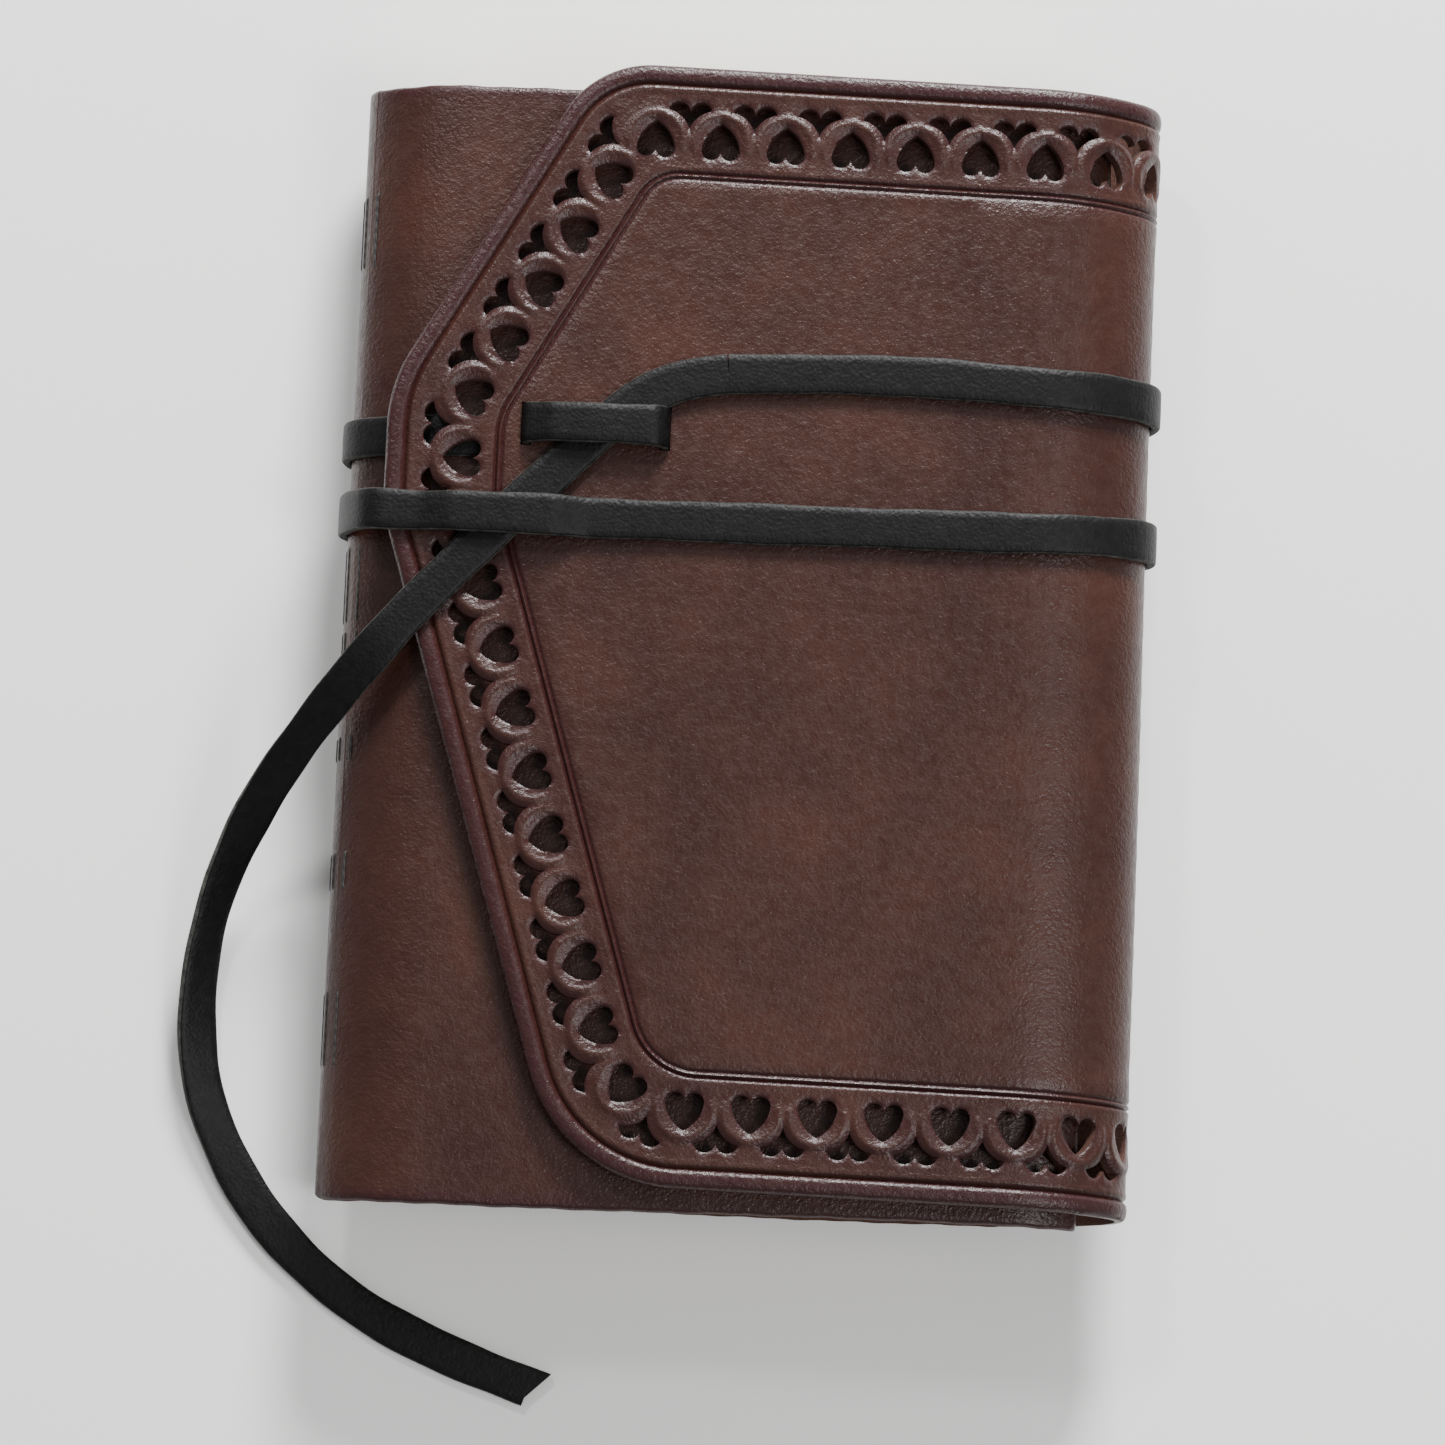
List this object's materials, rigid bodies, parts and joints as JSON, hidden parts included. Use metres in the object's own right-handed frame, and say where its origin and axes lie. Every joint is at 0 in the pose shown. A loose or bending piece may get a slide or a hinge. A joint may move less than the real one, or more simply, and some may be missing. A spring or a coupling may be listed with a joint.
{
  "type": "scrapbook album",
  "caption": "Leather wrap album lying closed: sewn pages, pierced wrap-around flap and a long flat lace tied round it.",
  "frame": {"origin": "under the middle of the closed album, without its free lace end, on the surface it lies on", "axes": "+X from the spine to the fore edge, +Y up the pages to the head, +Z out of the front cover"},
  "size_m": [0.156, 0.2129, 0.031],
  "materials": {
    "leather": "burnished, semi-gloss, dark reddish brown",
    "paper": "matt, uncoated, cream",
    "thread": "waxed linen thread, black",
    "lace": "black flat leather lace, matt to satin"
  },
  "bodies": {
    "back": {"back_cover": "leather", "spine": "leather", "front_joint": "leather", "fore_edge_turn": "leather", "signature_3_sheet_1": "paper", "signature_3_sheet_2": "paper", "signature_3_sheet_3": "paper", "signature_3_sheet_4": "paper", "signature_4_sheet_1": "paper", "signature_4_sheet_2": "paper", "signature_4_sheet_3": "paper", "signature_4_sheet_4": "paper", "signature_5_sheet_1": "paper", "signature_5_sheet_2": "paper", "signature_5_sheet_3": "paper", "signature_5_sheet_4": "paper", "signature_1_thread": "thread", "signature_2_thread": "thread", "signature_3_thread": "thread", "signature_4_thread": "thread", "signature_5_thread": "thread", "lace_spine_turn_upper": "lace", "lace_spine_turn_lower": "lace", "lace_fore_turn_lower": "lace", "lace_fore_turn_upper": "lace", "lace_back_run_inner": "lace", "lace_back_run_outer": "lace", "lace_front_run_upper": "lace", "lace_front_run_lower": "lace", "lace_tail": "lace"},
    "flap": {"flap": "leather", "lace_keeper": "lace"},
    "front": {"front_cover": "leather"},
    "leaves_1": {"signature_1_sheet_1": "paper", "signature_1_sheet_2": "paper", "signature_1_sheet_3": "paper", "signature_1_sheet_4": "paper"},
    "leaves_2": {"signature_2_sheet_1": "paper", "signature_2_sheet_2": "paper", "signature_2_sheet_3": "paper", "signature_2_sheet_4": "paper"}
  },
  "joints": [
    {"name": "flap_hinge", "type": "hinge", "parent": "back", "child": "flap", "pos_m": [0.0676, 0, 0.0155], "axis": [0, 1, 0], "range_deg": [0, 180], "deforming": ["fore_edge_turn", "flap", "lace_spine_turn_upper", "lace_spine_turn_lower", "lace_fore_turn_lower", "lace_fore_turn_upper", "lace_back_run_inner", "lace_back_run_outer", "lace_front_run_upper", "lace_front_run_lower", "lace_tail", "lace_keeper"]},
    {"name": "front_cover_hinge", "type": "hinge", "parent": "back", "child": "front", "pos_m": [-0.0602, 0, 0.0222], "axis": [0, -1, 0], "range_deg": [0, 179], "deforming": ["front_joint"]},
    {"name": "leaves_1_turn", "type": "hinge", "parent": "back", "child": "leaves_1", "pos_m": [-0.0602, 0, 0.0222], "axis": [0, -1, 0], "range_deg": [0, 178], "deforming": ["signature_1_thread"]},
    {"name": "leaves_2_turn", "type": "hinge", "parent": "back", "child": "leaves_2", "pos_m": [-0.0602, 0, 0.0222], "axis": [0, -1, 0], "range_deg": [0, 177], "deforming": ["signature_2_thread"]}
  ],
  "couplings": [
    {"joint": "front_cover_hinge", "follows": "flap_hinge", "ratio": 0.99444},
    {"joint": "leaves_1_turn", "follows": "flap_hinge", "ratio": 0.98889},
    {"joint": "leaves_2_turn", "follows": "flap_hinge", "ratio": 0.98333}
  ]
}
